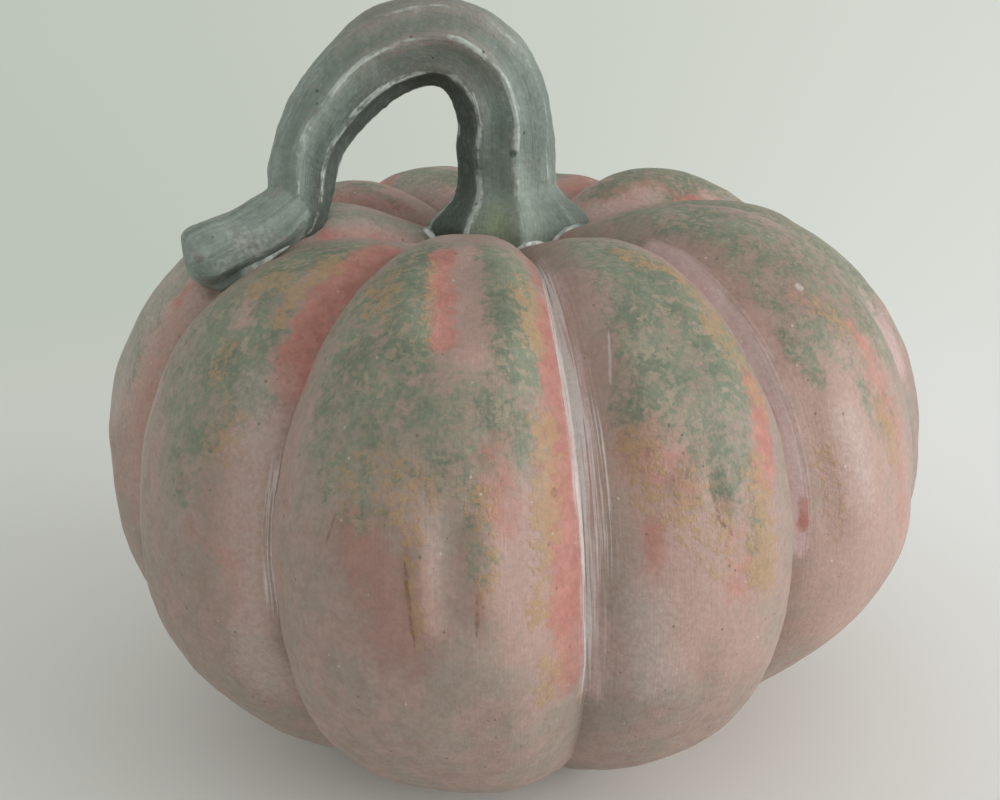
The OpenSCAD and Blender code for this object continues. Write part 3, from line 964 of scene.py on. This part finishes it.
stemShape = {
    "seatHeight": 102,
    "ribs": 8,
    "ribHeight": 1.8,
    # across, along, height above the seat, thickness
    "arch": [
        (1.6, 0, -1, 19.8), (1.6, 0, 1, 19.8), (1.6, 0, 5, 19.4), (1.6, 0, 11, 19.2), (1.6, -0.5, 19, 19.2),
        (1.2, -1, 27, 18.8), (-1.4, -1, 34.2, 18), (-7, -1.5, 39.2, 17), (-14.5, -2, 40.6, 16.6),
        (-22, -3, 38.6, 16.4), (-29.3, -4.5, 33.2, 15.6), (-35, -6.5, 26.4, 14.4), (-38.4, -8.5, 20, 13),
        (-39.5, -10, 13.5, 12.6), (-40.6, -11.4, 8.4, 11.2), (-42.2, -12.6, 6.4, 8.5),
    ],
    "end": [
        (-39, -11, 11.8, 9.5), (-44.3, -14.5, 8.2, 12.2), (-50.6, -17.8, 5.2, 12), (-55, -20, 3.5, 12.4),
        (-57.8, -21.3, 2.5, 12), (-59.4, -22, 1.9, 9.6), (-60.2, -22.4, 1.7, 6),
    ],
    # how much each rib stands out, from the outer bend round by the back
    "ribShares": (0.35, 0.5, 0.8, 0.9, 0.9, 1.15, 1.1, 0.45),
    "ribPower": 0.95,
    "twist": 0.24,
    "twistSpan": 95,
    # the ribs wander in a long and a short wave
    "wobble": 0.14,
    "wander": 0.4,
    "longWave": 7,
    "shortWave": 2.9,
    # they fade down the far side of the arch, and run out before the tip
    "fadeStart": 82,
    "fadeSpan": 24,
    "fadeMost": 0.6,
    "endRibs": 0.4,
    "tipFade": 4.5,
    # how far the toe on each rib spreads over the crown, from the right side round by the back
    "toes": (18.6, 16.8, 16, 16.8, 18.4, 15.4, 15.6, 16.6),
    "toeTop": 114.5,
    "toeFull": 105.5,
    "toeWeb": 2.6,
    "toePower": 1.2,
    # the coil is a toe only where it heads upwards this much
    "upright": 0.9,
    # where the two coils meet: middle, reach, rounds of smoothing
    "elbow": ((-41.5, -12, 111.5), 11, 14),
    "elbowFullness": 1.6,
    "sides": 120,
    "archRings": 130,
    "endRings": 50,
    "fieldSteps": 150,
    "voxel": 0.55,
    "smoothing": 0.5,
    "smoothRounds": 3,
    # uneven clay: size of the lumps in mm, how far they stand out, and a seed
    "lumps": [(14, 0.6, 20), (5.5, 0.26, 21), (2.4, 0.08, 22)],
    # brush hairs run along the coil: their place goes fast round it and slowly along it
    "hairRound": 8,
    "hairStretch": 0.06,
    "endOffset": 150,
}


def curveThrough(points, count):
    # a smooth curve through a route's points: places with thickness, then unit headings
    route = np.array(points, dtype=float)
    last = len(route) - 1
    t = np.linspace(0, last, count)
    i = np.minimum(t.astype(int), last - 1)
    u = (t - i)[:, None]
    a, b, c, d = (route[np.clip(i + k, 0, last)] for k in (-1, 0, 1, 2))
    made = b + u / 2 * ((c - a) + u * ((2 * a - 5 * b + 4 * c - d) + u * (3 * b - a - 3 * c + d)))
    made[:, 2] += stemShape["seatHeight"]
    return made, unit(np.gradient(made[:, :3], axis=0))


def crossways(heading):
    # the two directions across a coil: to its outer bend, and to its back
    side = unit(np.array([0, 1, 0]) - heading[..., 1:2] * heading)
    return np.cross(side, heading), side


def aroundRibs(turn, values):
    # a value given at each rib, drawn smoothly round the coil
    ring = np.array(values + values[:1])
    return np.interp(np.mod(turn, 2 * math.pi), np.linspace(0, 2 * math.pi, len(ring)), ring)


def flute(turn, length, standing=True):
    # ribs as crisp ridges between rounded valleys, from -1 to 1, that twist, wander and fade along the coil
    p = stemShape
    twist = p["twist"] * np.clip(1 - length / p["twistSpan"], 0, 1)
    wander = p["wobble"] * (np.sin(length / p["longWave"]) + 0.5 * np.sin(length / p["shortWave"] + 1))
    turn = turn - twist + wander * p["wander"]
    wave = np.abs(np.sin(p["ribs"] * turn / 2))
    fade = p["endRibs"]
    if standing:
        fade = 1 - p["fadeMost"] * ease((length - p["fadeStart"]) / p["fadeSpan"])
    return (1 - 2 * wave ** p["ribPower"]) * aroundRibs(turn, p["ribShares"]) * fade


def ribbed(thick, rib):
    # radius of a coil of this thickness, whose ribs shrink with it
    return thick / 2 + stemShape["ribHeight"] / 2 * thick / stemShape["arch"][0][3] * rib


def toeReach(turn, rib):
    return aroundRibs(turn, stemShape["toes"]) - stemShape["toeWeb"] * (1 - rib) / 2


def toeGrip(height):
    p = stemShape
    return ease((p["toeTop"] - height) / (p["toeTop"] - p["toeFull"])) ** p["toePower"]


def lengthAlong(route):
    steps = np.linalg.norm(np.diff(route[:, :3], axis=0), axis=1)
    return np.concatenate([[0], np.cumsum(steps)])


def coilForm(points, rings, standing):
    p = stemShape
    route, heading = curveThrough(points, rings)
    turn = np.linspace(0, 2 * math.pi, p["sides"] + 1)[None, :]
    front, side = crossways(heading)
    rib = flute(turn, lengthAlong(route)[:, None], standing)
    if not standing:
        rib = rib * ease(p["tipFade"] * (1 - np.linspace(0, 1, rings)[:, None]))
    radius = ribbed(route[:, 3:4], rib)
    if standing:
        grip = np.where(heading[:, 2:3] > p["upright"], toeGrip(route[:, 2:3]), 0)
        radius = radius + (toeReach(turn, rib) - radius) * grip
    radius = radius * (np.arange(rings) % (rings - 1) != 0)[:, None]
    across = np.cos(turn)[..., None] * front[:, None, :] + np.sin(turn)[..., None] * side[:, None, :]
    return route[:, None, :3] + radius[..., None] * across


def closeEnds(points):
    # each end is drawn in to one point, with a ring halfway between that point and the next ring
    return np.concatenate([points[:1], points[1:2] * 0.5 + points[:1] * 0.5, points[1:-1],
                           points[-2:-1] * 0.5 + points[-1:] * 0.5, points[-1:]])


def smoothElbow(piece):
    # rounds off the seam between the two coils and leaves the rest as it is
    p = stemShape
    middle, reach, rounds = p["elbow"]
    away = np.linalg.norm(readVectors(piece, "co") - middle, axis=1)
    share = ease(p["elbowFullness"] * (1 - away / reach))
    group = piece.vertex_groups.new(name="elbow")
    for number in np.nonzero(share > 0.01)[0].tolist():
        group.add([number], float(share[number]), "REPLACE")
    applyModifier(piece, "SMOOTH", factor=p["smoothing"], iterations=rounds, vertex_group="elbow")
    piece.vertex_groups.clear()


def makeStem():
    p = stemShape
    arch = skinGrid("pumpkinStem", closeEnds(coilForm(p["arch"], p["archRings"], True)))
    end = skinGrid("stemEnd", closeEnds(coilForm(p["end"], p["endRings"], False)))
    joinPieces(arch, [end])
    applyModifier(arch, "REMESH", mode="VOXEL", voxel_size=p["voxel"], adaptivity=0)
    applyModifier(arch, "SMOOTH", factor=p["smoothing"], iterations=p["smoothRounds"])
    smoothElbow(arch)
    places = readVectors(arch, "co")
    lift = sum(height * lumps(places, size, seed) for size, height, seed in p["lumps"])
    movePlaces(arch, places + readVectors(arch, "normal") * lift[:, None])
    fieldsOnStem(arch)
    return arch


def fieldsOnStem(piece):
    # how near each place is to a ridge, how far it faces into the loop, for the painted shade there, and a
    # place that is long along the coil, for brush hairs; each is taken from the nearer of the two coils
    p = stemShape
    places = readVectors(piece, "co")
    best = np.full(len(places), 1e9)
    ridge = np.zeros(len(places))
    inside = np.zeros(len(places))
    along = np.zeros((len(places), 3))
    for points, offset in ((p["arch"], 0), (p["end"], p["endOffset"])):
        standing = offset == 0
        route, heading = curveThrough(points, p["fieldSteps"])
        length = lengthAlong(route) + offset
        gaps = np.linalg.norm(places[:, None, :] - route[None, :, :3], axis=2)
        nearest = gaps.argmin(axis=1)
        away = gaps[np.arange(len(places)), nearest] - route[nearest, 3] / 2
        front, side = crossways(heading[nearest])
        out = places - route[nearest, :3]
        turn = np.arctan2((out * side).sum(1), (out * front).sum(1))
        closer = away < best
        best = np.where(closer, away, best)
        ridge = np.where(closer, flute(turn, length[nearest] - offset, standing), ridge)
        inside = np.where(closer, -np.cos(turn) * standing, inside)
        wound = np.stack([np.cos(turn) * p["hairRound"], np.sin(turn) * p["hairRound"],
                          length[nearest] * p["hairStretch"]], axis=-1)
        along = np.where(closer[:, None], wound, along)
    storeField(piece, "ridge", ridge)
    storeField(piece, "inside", inside)
    storeField(piece, "streakAt", along * mm)


stemFinish = {
    "green": "7e8b81",
    "greyGreen": "8c968e",
    # deep: a darker green for streaks, also painted shade in the rib valleys and on the upright's window
    # side
    "deep": "64726a",
    # shade: painted shade inside the arch's loop and over the right toe
    "shade": "465149",
    "brown": "8b7f77",
    "moss": "8b9677",
    "worn": "96a297",
    "white": "bcc4be",
    # pit: near-black, as painted shade inside pits
    "pit": (0.02, 0.025, 0.02, 1),
    "roughness": (0.42, 0.62),
    "gloss": 0.4,
    "grain": 900.0,
    # size in mm and detail of the noise that breaks the paint up, and of streaks along the coil
    "blots": (7, 3.0),
    "specks": (1.1, 4.0),
    "hairs": (0.45, 4.0),
    "bands": (2.0, 3.0),
    # brown near the top of the arch, white wiped on the end, a pit in the front rib: middle, reach in mm
    "brownAt": [(-14, -8, 146), 26],
    "whiteAt": [(-50, -24, 105), 12],
    "pitAt": [(2.6, -10.6, 121), 1.1],
    # painted shade on the upright's window side, a paler foot, yellow moss on it, painted shade over the
    # right toe: those two, strength, paint
    "tints": [
        ([(12, -3, 128), 17], 0.9, "deep"),
        ([(3, -13, 108), 15], 0.7, "worn"),
        ([(-2, -11, 106), 9], 0.7, "moss"),
        ([(16.5, -5, 106.5), 13], 0.62, "shade"),
    ],
}


def makeStemMaterial():
    finish = stemFinish
    paint = mixPaints(finish)
    material, shader, do, place = newMaterial("stemPaint")
    along = do.field("streakAt", "Vector")
    ridge = do.field("ridge")
    blots, specks = (do.channels(do.cloud(place, *finish[name], 1)) for name in ("blots", "specks"))
    hairs, bands = (do.channels(do.cloud(along, *finish[name], 1)) for name in ("hairs", "bands"))
    # grey-green in streaks, with brown near the top, and painted shade darkening the valleys between the
    # ribs
    look = do.blend(do.step(blots[0], 0.38, 0.62), paint["green"], paint["greyGreen"])
    look = do.blend(do.step(bands[0], 0.5, 0.66, 0.0, 0.6), look, paint["deep"])
    look = do.blend(do.step(bands[1], 0.5, 0.68, 0.0, 0.55), look, paint["worn"])
    drawn = do.plus(do.times(specks[0], 0.5), do.times(hairs[0], 0.5))
    tint = do.times(do.near(place, finish["brownAt"]), do.step(drawn, 0.36, 0.6, 0.3, 1.0))
    tint = do.most(tint, do.step(blots[1], 0.54, 0.72, 0.0, 0.5))
    look = do.blend(tint, look, paint["brown"])
    # painted shade in the valleys between the ribs
    look = do.blend(do.step(ridge, 0.1, -0.95, 0.0, 0.6), look, paint["deep"])
    look = do.blend(do.step(hairs[1], 0.5, 0.7, 0.0, 0.5), look, paint["deep"])
    # tints round places; two of them are painted shade, on the upright's window side and over the right toe
    for spot, strength, tone in finish["tints"]:
        look = do.blend(do.times(do.near(place, spot), strength), look, paint[tone])
    # painted shade over the places that face into the loop of the arch
    look = do.blend(do.step(do.field("inside"), 0.1, 0.85, 0.0, 0.9), look, paint["shade"])
    # white dragged along the ridges, and a thin veil that is thicker on the end
    cover = do.times(do.step(ridge, 0.0, 1.05), do.step(blots[2], 0.38, 0.6, 0.2, 1.0))
    whiteMask = do.group(brokenPaint, Cover=cover, Blots=blots[0], Dabs=hairs[2], Specks=specks[1],
                         Ragged=5.0, Soft=0.45)["Mask"]
    veil = do.step(specks[2], 0.48, 0.74, 0.0, 0.14)
    wiped = do.times(do.step(blots[1], 0.4, 0.6), do.step(specks[1], 0.36, 0.66, 0.05, 0.42))
    veil = do.most(veil, do.times(do.near(place, finish["whiteAt"]), wiped))
    look = do.blend(do.most(do.times(whiteMask, 0.8), veil), look, paint["white"])
    # pits of the clay, painted near-black as the shade inside them, and a fine light and dark speckle
    grain = do.group(clayGrain, Where=place, Grain=finish["grain"])
    pits = do.most(grain["Pits"], do.near(place, finish["pitAt"]))
    look = do.blend(do.times(pits, 0.6), look, finish["pit"])
    look = do.blend(1.0, look, do.step(specks[0], 0.28, 0.72, 0.9, 1.1), "MULTIPLY")
    do.link(look, shader.inputs["Base Color"])
    do.link(do.step(specks[1], 0.3, 0.7, *finish["roughness"]), shader.inputs["Roughness"])
    shader.inputs["Specular IOR Level"].default_value = finish["gloss"]
    height = do.plus(grain["Height"], do.times(hairs[0], 0.8))
    addBump(do, shader, do.less(height, do.times(pits, 0.8)), 0.6, 0.5)
    return material


finishPiece(makeStem(), makeStemMaterial(), "stem")


# The slip that bonds the stem: a bead squeezed out round its foot, and a strip under its end

slipShape = {
    "footSteps": 240,
    "footLevels": 180,
    "beadSides": 14,
    "bead": 0.75,
    "beadSwell": 0.45,
    "beadHeight": 0.8,
    "beadLumps": (5, 41),
    "stripStart": 3,
    "stripEnd": 43,
    "stripLip": 2.4,
    "lipSwell": 0.35,
    "lipLumps": (4, 43),
    "stripHalf": 1.5,
    "stripRise": 0.5,
    "stripGap": 1.2,
    "stripTaper": 0.35,
    "stripSides": 28,
    "searchSteps": 90,
}


def makeFootSlip():
    p, s = stemShape, slipShape
    turn = np.linspace(0, 2 * math.pi, s["footSteps"] + 1)
    levels = np.linspace(p["seatHeight"] - 1, p["toeTop"], s["footLevels"])
    rib = flute(turn[None, :], levels[:, None] - p["seatHeight"])
    across, along, thick = (p["arch"][1][k] for k in (0, 1, 3))
    base = ribbed(thick, rib)
    radius = base + (toeReach(turn[None, :], rib) - base) * toeGrip(levels[:, None])
    x = across + radius * np.cos(turn)
    y = along + radius * np.sin(turn)
    meets = np.argmax(levels[:, None] > crownAt(x, y), axis=0)
    column = np.arange(len(turn))
    meets[-1] = meets[0]
    line = np.stack([x[meets, column], y[meets, column], levels[meets]], axis=-1)
    out = np.stack([np.cos(turn), np.sin(turn), 0 * turn], axis=-1)
    swell = s["bead"] + s["beadSwell"] * lumps(line, *s["beadLumps"])
    swell[-1] = swell[0]
    bend = np.linspace(2 * math.pi, 0, s["beadSides"] + 1)[None, :, None]
    ring = np.cos(bend) * out[:, None, :] + np.sin(bend) * np.array([0, 0, s["beadHeight"]])
    return skinGrid("footSlip", line[:, None, :] + swell[:, None, None] * ring)


def makeTipSlip():
    p, s = stemShape, slipShape
    span = slice(s["stripStart"], s["stripEnd"])
    route, heading = (values[span] for values in curveThrough(p["end"], p["endRings"]))
    front, side = crossways(heading)
    # on each side, the line where the coil sinks into the crown
    edges = []
    for sign in (-1, 1):
        turn = math.pi / 2 * sign + sign * np.linspace(0, math.pi / 2, s["searchSteps"])[:, None]
        radius = ribbed(route[None, :, 3], flute(turn, lengthAlong(route)[None, :], False))
        across = np.cos(turn)[..., None] * front[None] + np.sin(turn)[..., None] * side[None]
        places = route[None, :, :3] + radius[..., None] * across
        sunk = places[..., 2] < crownAt(places[..., 0], places[..., 1])
        sunk[-1] = True
        edges.append(places[np.argmax(sunk, axis=0), np.arange(places.shape[1])])
    middle = (edges[0] + edges[1]) / 2
    # where the stem's end stands clear of the shoulder, the strip fills the gap
    gap = np.clip(middle[:, 2] - crownAt(middle[:, 0], middle[:, 1]), 0, s["stripGap"])
    middle[:, 2] += s["stripRise"] - gap / 2
    lip = s["stripLip"] * (1 + s["lipSwell"] * lumps(middle, *s["lipLumps"]))
    half = np.linalg.norm(edges[1] - edges[0], axis=1) / 2 + lip
    across = unit(edges[1] - edges[0] + side)
    up = np.cross(across, heading)
    bend = np.linspace(2 * math.pi, 0, s["stripSides"] + 1)[None, :, None]
    wide = half[:, None, None] * np.cos(bend) * across[:, None, :]
    tall = (s["stripHalf"] + gap / 2)[:, None, None] * np.sin(bend) * up[:, None, :]
    taper = np.sin(np.linspace(0, math.pi, len(middle))) ** s["stripTaper"]
    taper[[0, -1]] = 0
    return skinGrid("tipSlip", middle[:, None, :] + taper[:, None, None] * (wide + tall))


slipFinish = {
    "white": "f0f1ee",
    "grey": "d3d7d1",
    "stain": "8f9990",
    "painted": "76827a",
    "roughness": 0.62,
    "grain": 900.0,
    "blots": (4, 3.0),
    "specks": (0.8, 4.0),
    # where the stem's paint runs over the slip: middle and reach in mm
    "paintedAt": [[(-58.5, -24, 98), 14], [(19, -4, 103), 12]],
}


def makeSlipMaterial():
    finish = slipFinish
    paint = mixPaints(finish)
    material, shader, do, place = newMaterial("paleSlip")
    blots = do.channels(do.cloud(place, *finish["blots"], 1))
    look = do.blend(do.step(do.cloud(place, *finish["specks"]), 0.35, 0.65), paint["grey"], paint["white"])
    look = do.blend(do.step(blots[0], 0.4, 0.6, 0.0, 0.75), look, paint["stain"])
    tip, toe = (do.near(place, spot) for spot in finish["paintedAt"])
    painted = do.plus(do.most(tip, toe), do.times(blots[1], 0.5))
    look = do.blend(do.step(painted, 0.5, 0.8), look, paint["painted"])
    do.link(look, shader.inputs["Base Color"])
    shader.inputs["Roughness"].default_value = finish["roughness"]
    grain = do.group(clayGrain, Where=place, Grain=finish["grain"])
    addBump(do, shader, grain["Height"], 0.6, 0.4)
    return material


slipMaterial = makeSlipMaterial()
finishPiece(makeFootSlip(), slipMaterial, "stem_foot_slip")
finishPiece(makeTipSlip(), slipMaterial, "stem_tip_slip")


# The stage: a pale floor, a soft sky, a broad window on the right and its bounce from the left

stage = {
    "floorSize": 16.0,
    # painted shade: the floor's colour darkens to the left, away from the window
    "floorLeft": "e4e4df",
    "floorRight": "f6f5f3",
    "floorTurn": 0.16,
    "floorRoughness": 0.8,
    "skyColour": "f1f4f1",
    "skyStrength": 0.66,
    # painted shade: the background's tone darkens towards the left, away from the window
    "leftTone": "bdc4b9",
    "rightTone": "dcdfd8",
    # how far across the view the background turns from the left tone to the right one
    "toneFrom": -0.5,
    "toneTo": 0.78,
    "fadeStart": 0.16,
    "fadeEnd": 0.5,
    "lightAim": (0, 0, 0.06),
    "windowPlace": (1.15, -0.4, 0.22),
    "windowSize": 1.0,
    "windowPower": 15.0,
    "bouncePlace": (-1.2, 0.15, 0.45),
    "bounceSize": 1.2,
    "bouncePower": 2.3,
}


def makeBackdropTone():
    # the far background, a little darker on the left as painted shade away from the window, from a
    # direction or a place on the floor
    group, given, result = newGroup("backdropTone", {"Where": "Vector"}, {"Tone": "Color"})
    do = toolsFor(group)
    ahead = do.node("ShaderNodeVectorMath", {0: given["Where"]}, operation="NORMALIZE").outputs[0]
    across = do.node("ShaderNodeSeparateXYZ", {0: ahead}).outputs[0]
    share = do.step(across, stage["toneFrom"], stage["toneTo"])
    do.link(do.blend(share, colour(stage["leftTone"]), colour(stage["rightTone"])), result["Tone"])
    return group


def seenRays(do):
    # what meets the camera straight, in a gloss or through glass
    path = do.node("ShaderNodeLightPath").outputs
    mirrored = do.most(path["Is Glossy Ray"], path["Is Transmission Ray"])
    return do.most(path["Is Camera Ray"], mirrored)


def makeFloor(backdropTone):
    floor = addPrimitive(bpy.ops.mesh.primitive_plane_add, "floor", size=stage["floorSize"])
    material, shader, do, place = newMaterial("paleFloor")
    shader.inputs["Roughness"].default_value = stage["floorRoughness"]
    # painted shade: the floor's colour darkens towards the left, away from the window
    across = do.node("ShaderNodeSeparateXYZ", {0: place}).outputs[0]
    share = do.step(across, -stage["floorTurn"], stage["floorTurn"])
    do.link(do.blend(share, colour(stage["floorLeft"]), colour(stage["floorRight"])),
            shader.inputs["Base Color"])
    # far from the object the floor runs into the background without an edge
    away = do.node("ShaderNodeVectorMath", {0: place}, operation="LENGTH").outputs["Value"]
    share = do.times(do.step(away, stage["fadeStart"], stage["fadeEnd"]), seenRays(do))
    far = do.node("ShaderNodeEmission", {"Color": do.group(backdropTone, Where=place)["Tone"]})
    mixed = do.node("ShaderNodeMixShader", {0: share, 1: shader.outputs[0], 2: far.outputs[0]})
    do.link(mixed.outputs[0], material.node_tree.get_output_node("CYCLES").inputs["Surface"])
    floor.data.materials.append(material)


def makeSky(backdropTone):
    world = bpy.data.worlds.new("softSky")
    bpy.context.scene.world = world
    world.use_nodes = True
    world.node_tree.nodes.clear()
    do = toolsFor(world.node_tree)
    sky = do.node("ShaderNodeBackground", {"Color": colour(stage["skyColour"]),
                                           "Strength": stage["skyStrength"]})
    ahead = do.node("ShaderNodeTexCoord").outputs["Generated"]
    backdrop = do.node("ShaderNodeBackground", {"Color": do.group(backdropTone, Where=ahead)["Tone"]})
    mixed = do.node("ShaderNodeMixShader", {0: seenRays(do), 1: sky.outputs[0], 2: backdrop.outputs[0]})
    do.node("ShaderNodeOutputWorld", {"Surface": mixed.outputs[0]})


def makeLights():
    for name in ("window", "bounce"):
        lamp = bpy.data.lights.new(name, "AREA")
        lamp.size = stage[name + "Size"]
        lamp.energy = stage[name + "Power"]
        panel = bpy.data.objects.new(name, lamp)
        bpy.context.scene.collection.objects.link(panel)
        panel.location = stage[name + "Place"]
        aim = Vector(stage["lightAim"]) - panel.location
        panel.rotation_euler = aim.to_track_quat("-Z", "Y").to_euler()


backdropTone = makeBackdropTone()
makeFloor(backdropTone)
makeSky(backdropTone)
makeLights()
bpy.context.scene.view_settings.view_transform = "Standard"
print("stage set")
